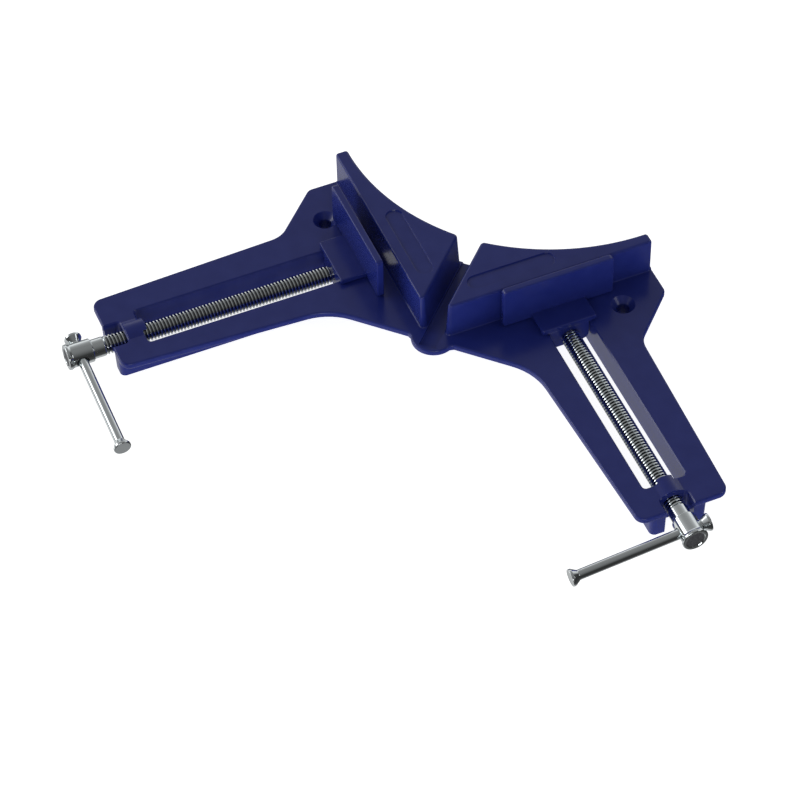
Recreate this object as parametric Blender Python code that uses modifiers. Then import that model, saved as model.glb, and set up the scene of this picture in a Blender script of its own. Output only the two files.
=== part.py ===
# Corner clamp for 90 degree mitre joints: one casting with two fixed jaws and two arms,
# and on each arm a moving jaw, a lead screw and a sliding tommy bar.
# Metres, +Z up, with z = 0 at the bench. Each solid is drawn from the corner where the faces of the
# two fixed jaws would meet, and is then placed so that this corner lies at y = -frame_origin_y.
# Each arm has its own directions: u runs out along the screw, v runs along the fixed jaw.

import bmesh
import bpy
from math import acos, asin, atan2, ceil, cos, hypot, pi, radians, sin, sqrt, tan
from mathutils import Matrix, Vector

# The frame's origin is on the bench under the centre rib, this far behind the corner
frame_origin_y = 0.0300

# Sizes of the casting
base_height = 0.0165
plate_thickness = 0.0038
plate_rounding = 0.0010
front_edge_y = 0.0022
side_edge_x = 0.1005
ear_corner_radius = 0.0050
side_fillet_radius = 0.0140
front_fillet_radius = 0.0320
tab_radius = 0.0118
tab_centre_y = 0.0058
tab_fillet_radius = 0.0015

# Sizes of an arm
screw_axis_v = 0.0698
screw_axis_drop = 0.0059
arm_end_u = 0.1495
arm_corner_radius = 0.0055
arm_inner_root_v = 0.0396
arm_inner_end_v = 0.0473
arm_outer_root_v = 0.1018
arm_outer_end_v = 0.0964
slot_start_u = 0.0032
slot_end_u = 0.1315
slot_width = 0.0232
slot_corner_radius = 0.0020
slot_edge_chamfer = 0.0006
rail_thickness = 0.0040
rail_draft = 0.0006
rail_end_inset = 0.0004
bridge_length = 0.0092
bridge_crown_height = 0.0024
bridge_foot_radius = 0.0030
bridge_flank_angle = radians(30)
bridge_side_width = 0.0130
notch_width = 0.0154

# Sizes of a fixed jaw
fixed_jaw_height = 0.0215
fixed_jaw_end_v = 0.1256
fixed_jaw_end_thickness = 0.0069
saw_gap_top = 0.0130
jaw_back_y = 0.0571
jaw_back_sag = 0.0079
jaw_back_slope = 0.1
jaw_draft = 0.0014
jaw_corner_radius = 0.0010
jaw_back_corner_radius = 0.0022
jaw_rounding = 0.0009
pocket_wall = 0.0045
pocket_end_v = 0.0800
base_ledge = 0.0006
plaque_offset = 0.0106
plaque_start_v = 0.0260
plaque_end_v = 0.0750
plaque_width = 0.0096
plaque_depth = 0.0009
plaque_wall_lean = 0.4
saw_kerf_width = 0.0092
saw_kerf_depth = 0.0015
saw_kerf_front_y = -0.0034
centre_rib_thickness = 0.0060
centre_rib_front_y = 0.0085

# Sizes of the two fixing holes
fixing_hole_u = 0.0162
fixing_hole_radius = 0.0033
countersink_radius = 0.0064
boss_radius = 0.0088
boss_to_rail = 0.0076

# Sizes of a moving jaw
moving_plate_width = 0.0620
moving_plate_height = 0.0254
moving_plate_thickness = 0.0038
moving_plate_corner = 0.0022
moving_plate_foot_corner = 0.0012
shoe_width = 0.0304
shoe_length = 0.0178
shoe_thickness = 0.0033
shoe_overlap = 0.0010
tongue_width = 0.0224
tongue_front = 0.0038
tongue_depth = 0.0061
tongue_corner_radius = 0.0036
tongue_end_inset = 0.0004
casting_rounding = 0.0007

# Sizes of a screw and its head
thread_radius = 0.0050
thread_end_to_arm_end = 0.0050
journal_radius = 0.0035
journal_groove_radius = 0.0024
journal_groove_width = 0.0030
journal_groove_centre = 0.0100
journal_tip_u = 0.0055
neck_radius = 0.0052
head_clearance = 0.0009
head_radius = 0.0063
flange_radius = 0.0069
flange_thickness = 0.0014
head_length = 0.0139
head_chamfer = 0.0005
retaining_pin_radius = 0.0012
retaining_pin_length = 0.0120

# Sizes of a tommy bar
bar_radius = 0.0027
bar_hole_to_head_start = 0.0066
bar_reach = 0.0622
knob_radius = 0.0046
knob_length = 0.0044
knob_rim = 0.0014
knob_face_chamfer = 0.0004
spigot_radius = 0.0017
spigot_length = 0.0036

# Fits
seat_gap = 0.0003
running_gap = 0.0002
press_gap = 0.00005

# Openings of the jaws as photographed
right_opening = 0.0025
left_opening = 0.0085

# Values that follow from the sizes above
plate_bottom = base_height - plate_thickness
screw_axis_height = base_height - screw_axis_drop
tongue_bottom = screw_axis_height - tongue_depth
jaw_top = base_height + fixed_jaw_height
half_slot = slot_width / 2
rail_half_width = half_slot + rail_thickness
fixing_hole_v = screw_axis_v + rail_half_width + boss_to_rail + boss_radius
slide_height = base_height + seat_gap
thread_end_u = arm_end_u - thread_end_to_arm_end
head_start_u = arm_end_u + head_clearance
head_end_u = head_start_u + head_length
bar_hole_u = head_start_u + bar_hole_to_head_start
turn_step = radians(15)
upright_slab = Matrix(((0, 0, 1, 0), (1, 0, 0, 0), (0, 1, 0, 0), (0, 0, 0, 1)))
diagonal = sqrt(0.5)
outwards = Vector((diagonal, -diagonal))
along = Vector((diagonal, diagonal))
shoe_start_u = moving_plate_thickness - shoe_overlap
bar_top_reach = head_radius + knob_length / 2 + seat_gap
bar_low_end = bar_reach + knob_length / 2
bar_tilt = asin((screw_axis_height - seat_gap) / hypot(bar_low_end, knob_radius)) - atan2(knob_radius, bar_low_end)
frame_shift = Matrix.Translation((0, -frame_origin_y, 0))

for old in list(bpy.data.objects):
    bpy.data.objects.remove(old)
for old_mesh in list(bpy.data.meshes):
    bpy.data.meshes.remove(old_mesh)

parts = bpy.data.collections.new("corner_clamp")
cutters = bpy.data.collections.new("cutters")
bpy.context.scene.collection.children.link(parts)
bpy.context.scene.collection.children.link(cutters)


def make_material(name, colour, metallic, roughness):
    material = bpy.data.materials.new(name)
    material.use_nodes = True
    shader = material.node_tree.nodes["Principled BSDF"]
    shader.inputs["Base Color"].default_value = (*colour, 1)
    shader.inputs["Metallic"].default_value = metallic
    shader.inputs["Roughness"].default_value = roughness
    return material


blue_paint = make_material("blue_enamel", (0.014, 0.018, 0.12), 0.0, 0.22)
jaw_paint = make_material("jaw_enamel", (0.014, 0.018, 0.11), 0.0, 0.22)
screw_steel = make_material("bright_screw_steel", (0.62, 0.64, 0.63), 1.0, 0.18)
bar_steel = make_material("bright_bar_steel", (0.66, 0.68, 0.67), 1.0, 0.15)
cap_steel = make_material("bright_cap_steel", (0.68, 0.70, 0.69), 1.0, 0.17)
pin_steel = make_material("pin_steel", (0.40, 0.40, 0.41), 1.0, 0.35)


def arm_point(u, v):
    return outwards * u + along * v


def arm_matrix(u, height, side=1):
    spot = arm_point(u, screw_axis_v)
    turn = radians(-45) if side > 0 else radians(-135)
    return Matrix.Translation((side * spot.x, spot.y, height)) @ Matrix.Rotation(turn, 4, "Z")


def arc(centre, radius, start, end):
    count = max(2, ceil(abs(end - start) / turn_step) + 1)
    return [centre + radius * Vector((cos(start + (end - start) * i / (count - 1)),
                                      sin(start + (end - start) * i / (count - 1))))
            for i in range(count)]


# Rounds the corners of an open or closed path; each corner is (point, radius)
def rounded_path(corners, closed=True):
    path = []
    total = len(corners)
    for i, (spot, radius) in enumerate(corners):
        spot = Vector(spot)
        if radius == 0 or (not closed and i in (0, total - 1)):
            path.append(spot)
            continue
        before = (Vector(corners[i - 1][0]) - spot).normalized()
        after = (Vector(corners[(i + 1) % total][0]) - spot).normalized()
        half = acos(max(-1, min(1, before.dot(after)))) / 2
        reach = radius / tan(half)
        centre = spot + (before + after).normalized() * radius / sin(half)
        first = spot + before * reach - centre
        last = spot + after * reach - centre
        start = atan2(first.y, first.x)
        sweep = atan2(last.y, last.x) - start
        sweep = (sweep + pi) % (2 * pi) - pi
        path += arc(centre, radius, start, start + sweep)
    return path


def weld(mesh):
    shape = bmesh.new()
    shape.from_mesh(mesh)
    bmesh.ops.remove_doubles(shape, verts=shape.verts, dist=0.00001)
    bmesh.ops.recalc_face_normals(shape, faces=shape.faces)
    shape.to_mesh(mesh)
    shape.free()


def add_object(name, mesh, collection):
    thing = bpy.data.objects.new(name, mesh)
    collection.objects.link(thing)
    return thing


def as_mesh(thing, name, collection=cutters):
    bpy.context.view_layer.update()
    evaluated = thing.evaluated_get(bpy.context.evaluated_depsgraph_get())
    mesh = bpy.data.meshes.new_from_object(evaluated)
    weld(mesh)
    mesh.name = name
    mesh.transform(thing.matrix_world)
    bpy.data.objects.remove(thing)
    return add_object(name, mesh, collection)


# A flat outline made solid between two heights, with its rims rounded
def slab(name, path, low, high, rounding=0.0, steps=1):
    curve = bpy.data.curves.new(name, "CURVE")
    curve.dimensions = "2D"
    curve.fill_mode = "BOTH"
    curve.extrude = (high - low) / 2 - rounding
    curve.bevel_depth = rounding
    curve.bevel_resolution = steps
    curve.offset = -rounding
    spline = curve.splines.new("POLY")
    spline.points.add(len(path) - 1)
    for point, spot in zip(spline.points, path):
        point.co = (spot[0], spot[1], 0, 1)
    spline.use_cyclic_u = True
    thing = add_object(name, curve, cutters)
    thing.location.z = (low + high) / 2
    return as_mesh(thing, name)


def block(name, low, high, matrix=Matrix()):
    mesh = bpy.data.meshes.new(name)
    shape = bmesh.new()
    bmesh.ops.create_cube(shape, size=1)
    low = Vector(low)
    size = Vector(high) - low
    for vert in shape.verts:
        vert.co = Vector(low[i] + (vert.co[i] + 0.5) * size[i] for i in range(3))
    shape.to_mesh(mesh)
    shape.free()
    mesh.transform(matrix)
    return add_object(name, mesh, cutters)


def rod(name, radius, start, end, matrix=Matrix(), sides=32, end_radius=None):
    mesh = bpy.data.meshes.new(name)
    shape = bmesh.new()
    lie = Matrix.Translation(((start + end) / 2, 0, 0)) @ Matrix.Rotation(pi / 2, 4, "Y")
    bmesh.ops.create_cone(shape, cap_ends=True, segments=sides, radius1=radius,
                          radius2=radius if end_radius is None else end_radius,
                          depth=end - start, matrix=lie)
    shape.to_mesh(mesh)
    shape.free()
    mesh.transform(matrix)
    return add_object(name, mesh, cutters)


def full_share(normal):
    return 1


# Gives the walls of a solid draft: below a height they lean outwards, by a share for each direction
def lean_walls(thing, top, bottom, amount, share=full_share):
    shape = bmesh.new()
    shape.from_mesh(thing.data)
    shape.normal_update()
    moves = []
    for vert in shape.verts:
        normals = []
        for face in vert.link_faces:
            normal = Vector((face.normal.x, face.normal.y))
            if normal.length < 0.6:
                continue
            normal.normalize()
            if all(normal.dot(other) < 0.999 for other in normals):
                normals.append(normal)
        if normals:
            first, last = normals[0], normals[-1]
            depth = (top - vert.co.z) / (top - bottom)
            reach = amount * depth * (share(first) + share(last)) / 2
            moves.append((vert, (first + last) / (1 + first.dot(last)) * reach))
    for vert, move in moves:
        vert.co.x += move.x
        vert.co.y += move.y
    shape.to_mesh(thing.data)
    shape.free()


def combine(thing, other, operation):
    modifier = thing.modifiers.new(operation.lower(), "BOOLEAN")
    modifier.operation = operation
    modifier.solver = "EXACT"
    modifier.object = other
    other.hide_render = True
    other.display_type = "WIRE"


def join(thing, *others):
    for other in others:
        combine(thing, other, "UNION")


def cut(thing, *others):
    for other in others:
        combine(thing, other, "DIFFERENCE")


def soften(thing, width, steps=2, angle=40):
    bevel = thing.modifiers.new("rounded_edges", "BEVEL")
    bevel.width = width
    bevel.segments = steps
    bevel.limit_method = "ANGLE"
    bevel.angle_limit = radians(angle)


def smooth_round_faces(thing, angle=32):
    thing.data.shade_smooth()
    thing.data.set_sharp_from_angle(angle=radians(angle))


# Names a finished solid, gives it its material and puts it among the parts
def finish_part(thing, name, material, matrix=Matrix(), parent=None):
    solid = as_mesh(thing, name, parts)
    solid.data.materials.clear()
    solid.data.materials.append(material)
    smooth_round_faces(solid)
    place(solid, matrix, parent)
    return solid


def place(solid, matrix, parent=None):
    if parent:
        solid.parent = parent
        bpy.context.view_layer.update()
        matrix = parent.matrix_world.inverted() @ matrix
    solid.matrix_local = matrix
    bpy.context.view_layer.update()


# The arc of the hollow back of a fixed jaw, from the saw gap to its far end
def jaw_back_arc():
    gap_end = Vector((saw_gap_top / 2, jaw_back_y))
    far_end = arm_point(-fixed_jaw_end_thickness, fixed_jaw_end_v)
    chord = far_end - gap_end
    radius = ((chord.length / 2) ** 2 + jaw_back_sag ** 2) / (2 * jaw_back_sag)
    backwards = Vector((-chord.y, chord.x)).normalized()
    centre = (gap_end + far_end) / 2 + backwards * (radius - jaw_back_sag)
    start = atan2(gap_end.y - centre.y, gap_end.x - centre.x)
    end = atan2(far_end.y - centre.y, far_end.x - centre.x)
    return centre, radius, start, end


def back_line(centre, radius, start, end, count=12):
    return [centre + radius * Vector((cos(start + (end - start) * i / count),
                                      sin(start + (end - start) * i / count)))
            for i in range(count + 1)]


# Outline of the base plate. It is drawn for the right half and past x = 0, where Mirror cuts it
def plate_outline():
    centre, radius, start, end = jaw_back_arc()
    back = back_line(centre, radius - jaw_draft - base_ledge, start, end)
    far_v = fixed_jaw_end_v + base_ledge
    ear = (side_edge_x, far_v / diagonal - side_edge_x)
    outer_lean = (arm_outer_end_v - arm_outer_root_v) / arm_end_u
    inner_lean = (arm_inner_end_v - arm_inner_root_v) / arm_end_u
    waist_u = (side_edge_x / diagonal - arm_outer_root_v) / (1 + outer_lean)
    waist = arm_point(waist_u, arm_outer_root_v + outer_lean * waist_u)
    crotch_u = (arm_inner_root_v - front_edge_y / diagonal) / (1 - inner_lean)
    crotch = arm_point(crotch_u, arm_inner_root_v + inner_lean * crotch_u)
    tab_side_x = sqrt(tab_radius ** 2 - (tab_centre_y - front_edge_y) ** 2)
    corners = [(spot, 0) for spot in back]
    corners[-1] = (arm_point(-fixed_jaw_end_thickness - jaw_draft, far_v), 0)
    corners += [
        (ear, ear_corner_radius),
        (waist, side_fillet_radius),
        (arm_point(arm_end_u, arm_outer_end_v), arm_corner_radius),
        (arm_point(arm_end_u, arm_inner_end_v), arm_corner_radius),
        (crotch, front_fillet_radius),
        ((tab_side_x + tab_fillet_radius, front_edge_y), 0),
    ]
    path = rounded_path(corners, closed=False)
    side_angle = atan2(front_edge_y - tab_centre_y, tab_side_x)
    path += arc(Vector((0, tab_centre_y)), tab_radius, side_angle - radians(6), -pi / 2)
    path.append(Vector((-tab_radius / 2, tab_centre_y - tab_radius)))
    path.append(Vector((-tab_radius / 2, back[0].y)))
    return path


def fixed_jaw_outline(inset=0.0, far_v=fixed_jaw_end_v):
    centre, radius, start, end = jaw_back_arc()
    side_x = saw_gap_top / 2 + inset
    near = Vector((side_x, side_x + inset / diagonal))
    back = [spot for spot in back_line(centre, radius + inset, start, end)
            if spot.x > side_x + jaw_back_corner_radius and spot.dot(along) < far_v - jaw_back_corner_radius]
    first = Vector((side_x, back[0].y - (back[0].x - side_x) * jaw_back_slope))
    last_u = centre.dot(outwards) + sqrt((radius + inset) ** 2 - (far_v - centre.dot(along)) ** 2)
    corners = [(near, jaw_corner_radius), (arm_point(-inset, far_v), jaw_corner_radius),
               (arm_point(last_u, far_v), jaw_corner_radius)]
    corners += [(spot, 0) for spot in reversed(back)]
    corners.append((first, jaw_back_corner_radius))
    return rounded_path(corners)


# The clamping face and the far end of a fixed jaw are upright; its other walls have draft
def jaw_draft_share(normal):
    towards_face = max(0, normal.dot(outwards))
    towards_end = max(0, normal.dot(along))
    return max(0, 1 - towards_face ** 2 - towards_end ** 2)


def make_fixed_jaw():
    low = base_height - plate_thickness / 2
    jaw = slab("fixed_jaw", fixed_jaw_outline(), low, jaw_top, jaw_rounding, 2)
    lean_walls(jaw, jaw_top, base_height, jaw_draft, jaw_draft_share)
    return jaw


def make_jaw_pocket():
    pocket = slab("jaw_pocket", fixed_jaw_outline(pocket_wall, pocket_end_v), -seat_gap, jaw_top - pocket_wall)
    lean_walls(pocket, jaw_top, base_height, jaw_draft, jaw_draft_share)
    return pocket


def make_plaque():
    half = plaque_width / 2
    low = arm_point(-plaque_offset, plaque_start_v + half)
    high = arm_point(-plaque_offset, plaque_end_v - half)
    path = arc(low, half, -pi / 4 - pi, -pi / 4)
    path += arc(high, half, -pi / 4, -pi / 4 + pi)
    plaque = slab("plaque", path, jaw_top - plaque_depth, jaw_top + plaque_depth)
    lean_walls(plaque, jaw_top, jaw_top - plaque_depth, -plaque_depth * plaque_wall_lean)
    return plaque


def slot_outline(start_u, end_u, width, grow=0.0):
    half = width / 2 + grow
    low = start_u - grow
    high = end_u + grow
    spots = [(low, -half), (high, -half), (high, half), (low, half)]
    return rounded_path([(spot, slot_corner_radius + grow) for spot in spots])


# Cutters of a slot: the slot itself and the chamfer of its upper edge
def slot_cutters(name, start_u, end_u, width):
    slot = slab(name, slot_outline(start_u, end_u, width), -seat_gap, base_height + bridge_crown_height / 2)
    low = base_height - slot_edge_chamfer * 1.5
    high = base_height + slot_edge_chamfer
    edge = slab(name + "_edge", slot_outline(start_u, end_u, width, slot_edge_chamfer * 2), low, high)
    lean_walls(edge, high, low, low - high)
    for cutter in (slot, edge):
        cutter.data.transform(arm_matrix(0, 0))
    return slot, edge


# The low arch over the screw at the end of an arm
def make_bridge():
    crown_radius = base_height + bridge_crown_height - screw_axis_height
    peak = screw_axis_height + crown_radius / cos(bridge_flank_angle)
    foot_height = base_height - seat_gap
    foot = (peak - foot_height) / tan(bridge_flank_angle)
    half = bridge_side_width
    corners = [((-half, rail_end_inset), 0), ((half, rail_end_inset), 0), ((half, foot_height), 0),
               ((foot, foot_height), bridge_foot_radius), ((0, peak), crown_radius),
               ((-foot, foot_height), bridge_foot_radius), ((-half, foot_height), 0)]
    start_u = slot_end_u - slot_corner_radius
    bridge = slab("bridge", rounded_path(corners), start_u, slot_end_u + bridge_length, slot_edge_chamfer / 2)
    bridge.data.transform(arm_matrix(0, 0) @ upright_slab)
    return bridge


def make_rails():
    start_u = slot_start_u - rail_thickness
    rails = block("rails", (start_u, -rail_half_width, 0),
                  (arm_end_u - rail_end_inset, rail_half_width, base_height - plate_rounding))
    lean_walls(rails, base_height, 0, -rail_draft)
    rails.data.transform(arm_matrix(0, 0))
    return rails


def make_centre_rib():
    half = centre_rib_thickness / 2
    rib = block("centre_rib", (-half, centre_rib_front_y, 0),
                (half, jaw_back_y - seat_gap, base_height - saw_kerf_depth - plate_rounding))
    lean_walls(rib, base_height, 0, -rail_draft)
    return rib


def make_body():
    axis = arm_matrix(0, screw_axis_height)
    hole = arm_point(fixing_hole_u, fixing_hole_v)
    upright = Matrix.Translation((hole.x, hole.y, 0)) @ Matrix.Rotation(-pi / 2, 4, "Y")
    bridge_end_u = slot_end_u + bridge_length
    body = slab("body", plate_outline(), plate_bottom, base_height, plate_rounding, 2)
    join(body, make_fixed_jaw(), make_rails(), make_centre_rib(), make_bridge(),
         rod("boss", boss_radius - rail_draft, 0, base_height - plate_rounding, upright, 40, boss_radius))
    sink = countersink_radius - fixing_hole_radius
    cut(body, make_jaw_pocket(), make_plaque(),
        *slot_cutters("slot", slot_start_u, slot_end_u, slot_width),
        *slot_cutters("notch", bridge_end_u, arm_end_u + notch_width, notch_width),
        block("saw_kerf", (-saw_kerf_width / 2, saw_kerf_front_y, base_height - saw_kerf_depth),
              (saw_kerf_width / 2, jaw_back_y + fixed_jaw_height, jaw_top)),
        rod("bridge_bore", thread_radius + running_gap, slot_end_u - bridge_length, arm_end_u, axis, 40),
        rod("fixing_hole", fixing_hole_radius, -seat_gap, base_height + seat_gap, upright),
        rod("countersink", fixing_hole_radius - seat_gap, base_height - sink - seat_gap,
            base_height + seat_gap, upright, 40, countersink_radius + seat_gap))
    mirror = body.modifiers.new("mirror", "MIRROR")
    mirror.use_bisect_axis = (True, False, False)
    mirror.merge_threshold = 0.00001
    return finish_part(body, "clamp_body", blue_paint, frame_shift)


def make_moving_jaw(side, name, matrix):
    half = moving_plate_width / 2
    top = moving_plate_height
    corners = [((-half, 0), moving_plate_foot_corner), ((half, 0), moving_plate_foot_corner),
               ((half, top), moving_plate_corner), ((-half, top), moving_plate_corner)]
    jaw = slab("plate", rounded_path(corners), 0, moving_plate_thickness, casting_rounding)
    jaw.data.transform(Matrix.Translation((0, 0, slide_height)) @ upright_slab)
    shoe = block("shoe", (shoe_start_u, -shoe_width / 2, slide_height),
                 (shoe_length, shoe_width / 2, slide_height + shoe_thickness))
    soften(shoe, casting_rounding)
    half = tongue_width / 2
    low = tongue_bottom
    high = slide_height + shoe_thickness / 2
    corners = [((-half, low), tongue_corner_radius), ((half, low), tongue_corner_radius),
               ((half, high), casting_rounding), ((-half, high), casting_rounding)]
    tongue = slab("tongue", rounded_path(corners), tongue_front, shoe_length - tongue_end_inset, casting_rounding / 2)
    tongue.data.transform(upright_slab)
    join(jaw, shoe, tongue)
    axis = Matrix.Translation((0, 0, screw_axis_height))
    pin = retaining_pin_matrix()
    cut(jaw, rod("journal_bore", journal_radius + running_gap, journal_tip_u - seat_gap, shoe_length, axis, 32),
        rod("pin_hole", retaining_pin_radius + press_gap, -seat_gap, retaining_pin_length + seat_gap, pin, 16))
    return finish_part(jaw, name, jaw_paint, matrix)


# The pin stands beside the screw's groove, driven in from the underside of the tongue
def retaining_pin_matrix():
    beside = journal_groove_radius + running_gap + retaining_pin_radius
    spot = Matrix.Translation((journal_groove_centre, beside, tongue_bottom))
    return spot @ Matrix.Rotation(-pi / 2, 4, "Y")


def make_retaining_pin(name, matrix, parent):
    pin = rod("pin", retaining_pin_radius, 0, retaining_pin_length, retaining_pin_matrix(), 16)
    return finish_part(pin, name, pin_steel, matrix, parent)


# A turned solid: the profile is (distance along the axis, radius), from one end to the other
def turned(name, profile, steps=32):
    mesh = bpy.data.meshes.new(name)
    points = [(radius, 0, -distance) for distance, radius in profile]
    mesh.from_pydata(points, [(i, i + 1) for i in range(len(points) - 1)], [])
    thing = add_object(name, mesh, cutters)
    screw = thing.modifiers.new("turn", "SCREW")
    screw.steps = steps
    screw.render_steps = steps
    screw.use_merge_vertices = True
    screw.merge_threshold = 0.00001
    solid = as_mesh(thing, name)
    solid.data.transform(Matrix.Rotation(-pi / 2, 4, "Y"))
    weld(solid.data)
    return solid


def make_screw(name, matrix, parent):
    groove_start = journal_groove_centre - journal_groove_width / 2
    groove_end = journal_groove_centre + journal_groove_width / 2
    thread_start = shoe_length + seat_gap
    chamfer = head_chamfer
    profile = [
        (journal_tip_u, 0),
        (journal_tip_u, journal_radius - chamfer),
        (journal_tip_u + chamfer, journal_radius),
        (groove_start, journal_radius),
        (groove_start, journal_groove_radius),
        (groove_end, journal_groove_radius),
        (groove_end, journal_radius),
        (thread_start, journal_radius),
        (thread_start, thread_radius - chamfer),
        (thread_start + chamfer, thread_radius),
        (thread_end_u, thread_radius),
        (thread_end_u + chamfer, neck_radius),
        (head_start_u, neck_radius),
        (head_start_u, head_radius - chamfer),
        (head_start_u + chamfer, head_radius),
        (head_end_u - flange_thickness * 2, head_radius),
        (head_end_u - flange_thickness, flange_radius),
        (head_end_u - chamfer, flange_radius),
        (head_end_u, flange_radius - chamfer),
        (head_end_u, 0),
    ]
    screw = turned("screw", profile, 40)
    cross = Matrix.Translation((bar_hole_u, 0, 0)) @ Matrix.Rotation(pi / 2, 4, "Z")
    hole = rod("bar_hole", bar_radius + running_gap, -flange_radius * 2, flange_radius * 2, cross, 32)
    cut(screw, hole)
    return finish_part(screw, name, screw_steel, matrix, parent)


def make_bar(name, matrix, parent):
    low = -bar_reach - knob_length / 2
    high = bar_top_reach - knob_length / 2
    cone_low = low + knob_rim
    profile = [
        (low, 0),
        (low, knob_radius - knob_face_chamfer),
        (low + knob_face_chamfer, knob_radius),
        (cone_low, knob_radius),
        (low + knob_length, bar_radius),
        (high, bar_radius),
        (high, spigot_radius),
        (high + spigot_length, spigot_radius),
        (high + spigot_length, 0),
    ]
    return finish_part(turned("bar", profile, 24), name, bar_steel, matrix, parent)


def make_bar_cap(name, matrix, parent):
    low = bar_top_reach - knob_length / 2
    high = low + knob_length
    bore = spigot_radius + press_gap
    profile = [
        (low + spigot_length + press_gap, 0),
        (low + spigot_length + press_gap, bore),
        (low + press_gap, bore),
        (low + press_gap, bar_radius),
        (high - knob_rim, knob_radius),
        (high - knob_face_chamfer, knob_radius),
        (high, knob_radius - knob_face_chamfer),
        (high, 0),
    ]
    return finish_part(turned("cap", profile, 24), name, cap_steel, matrix, parent)


make_body()
for side, word, opening in ((1, "right", right_opening), (-1, "left", left_opening)):
    jaw_matrix = frame_shift @ arm_matrix(opening, 0, side)
    screw_matrix = frame_shift @ arm_matrix(opening, screw_axis_height, side)
    lie = Matrix.Rotation(side * bar_tilt, 4, "X")
    bar_line = screw_matrix @ lie @ Matrix.Translation((bar_hole_u, 0, 0)) @ Matrix.Rotation(side * pi / 2, 4, "Z")
    jaw = make_moving_jaw(side, word + "_moving_jaw", jaw_matrix)
    make_retaining_pin(word + "_retaining_pin", jaw_matrix, jaw)
    screw = make_screw(word + "_lead_screw", screw_matrix @ lie, jaw)
    bar = make_bar(word + "_tommy_bar", bar_line, screw)
    make_bar_cap(word + "_bar_cap", bar_line, bar)
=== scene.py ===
# Corner clamp with a blue enamelled casting and bright lead screws
from math import acos, asin, atan2, ceil, cos, hypot, pi, radians, sin, sqrt, tan
import bmesh
import bpy
from mathutils import Matrix, Vector


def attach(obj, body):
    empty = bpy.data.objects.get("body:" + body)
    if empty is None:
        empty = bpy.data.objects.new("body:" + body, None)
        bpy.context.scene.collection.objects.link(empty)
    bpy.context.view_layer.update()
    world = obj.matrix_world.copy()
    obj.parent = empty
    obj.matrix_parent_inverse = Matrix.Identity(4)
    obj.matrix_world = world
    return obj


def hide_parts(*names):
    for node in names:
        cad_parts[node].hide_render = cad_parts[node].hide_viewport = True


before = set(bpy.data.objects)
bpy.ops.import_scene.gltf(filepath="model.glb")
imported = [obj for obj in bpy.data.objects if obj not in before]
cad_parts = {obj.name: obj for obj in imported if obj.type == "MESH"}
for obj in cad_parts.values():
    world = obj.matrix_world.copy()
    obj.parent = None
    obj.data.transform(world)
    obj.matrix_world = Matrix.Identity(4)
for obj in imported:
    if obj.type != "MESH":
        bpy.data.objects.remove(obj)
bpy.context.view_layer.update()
print("frame loaded:", len(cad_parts), "nodes")

outwards = Vector((sqrt(0.5), -sqrt(0.5)))  # right arm: along the screw, away from the fixed jaw
along = Vector((sqrt(0.5), sqrt(0.5)))      # right arm: along the fixed jaw, away from the corner
# stands a flat outline up, across an arm
upright = Matrix(((0, 0, 1, 0), (1, 0, 0, 0), (0, 1, 0, 0), (0, 0, 0, 1)))
turnStep = radians(7)   # an arc has no longer step
pieceSteps = 56         # facets round a turned piece
seat = 0.0003           # the gap that sliding pieces keep
run = 0.0002            # the gap round a bar in its hole
clear = 0.0050          # how far a cutter runs past what it cuts
shortest = 0.00002      # an outline has no shorter step
weld = 0.000004         # points closer than this become one
mirrorWeld = 0.00001    # and these where a half meets its mirror image
cornerLimit = 0.4       # keeps the point of a sharp corner from running away
uprightShare = 1.3      # a box's upright edges against its rims, so that the rims have room
threadAngle = 30        # the edges of the thread are sharp from here, in degrees
flatWeight = 90         # how much a flat face counts in the shading beside it
# each piece is drawn from the corner where the fixed jaws' faces would meet, and then moved by this
cornerPlace = Matrix.Translation((0, -0.0300, 0))

work = bpy.data.collections.new("corner_clamp_looks")
bpy.context.scene.collection.children.link(work)


def linear(code):
    values = [int(code[i:i + 2], 16) / 255 for i in (0, 2, 4)]
    return tuple(v / 12.92 if v <= 0.04045 else ((v + 0.055) / 1.055) ** 2.4 for v in values) + (1.0,)


def addNode(tree, kind, inputs=None, settings=None):
    node = tree.nodes.new(kind)
    for name, value in (settings or {}).items():
        setattr(node, name, value)
    for key, value in (inputs or {}).items():
        if isinstance(value, bpy.types.NodeSocket):
            tree.links.new(value, node.inputs[key])
        else:
            node.inputs[key].default_value = value
    return node


def addMaths(tree, operation, first, second=0.0):
    return addNode(tree, "ShaderNodeMath", {0: first, 1: second}, {"operation": operation}).outputs[0]


def mapRange(tree, value, given=(0.0, 1.0), wanted=(0.0, 1.0)):
    return addNode(tree, "ShaderNodeMapRange", {
        "Value": value, "From Min": given[0], "From Max": given[1], "To Min": wanted[0], "To Max": wanted[1],
    }).outputs[0]


def mixColours(tree, share, first, second):
    return addNode(tree, "ShaderNodeMix", {0: share, 6: first, 7: second}, {"data_type": "RGBA"}).outputs[2]


def addNoise(tree, coords, size, detail):
    noise = addNode(tree, "ShaderNodeTexNoise", {"Vector": coords, "Scale": 1 / size, "Detail": detail})
    return noise.outputs["Fac"]


def newMaterial(name):
    material = bpy.data.materials.new(name)
    material.use_nodes = True
    tree = material.node_tree
    coords = addNode(tree, "ShaderNodeTexCoord").outputs["Object"]
    return material, tree, tree.nodes["Principled BSDF"], coords


def addObject(name, mesh):
    thing = bpy.data.objects.new(name, mesh)
    work.objects.link(thing)
    return thing


# Applies the modifiers and the place
def plainMesh(thing):
    name = thing.name
    bpy.context.view_layer.update()
    mesh = bpy.data.meshes.new_from_object(thing.evaluated_get(bpy.context.evaluated_depsgraph_get()))
    mesh.transform(thing.matrix_world)
    mesh.name = name
    bpy.data.objects.remove(thing)
    return addObject(name, mesh)


# u runs out along the screw and v along the fixed jaw
def armSpot(u, v):
    return outwards * u + along * v


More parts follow.
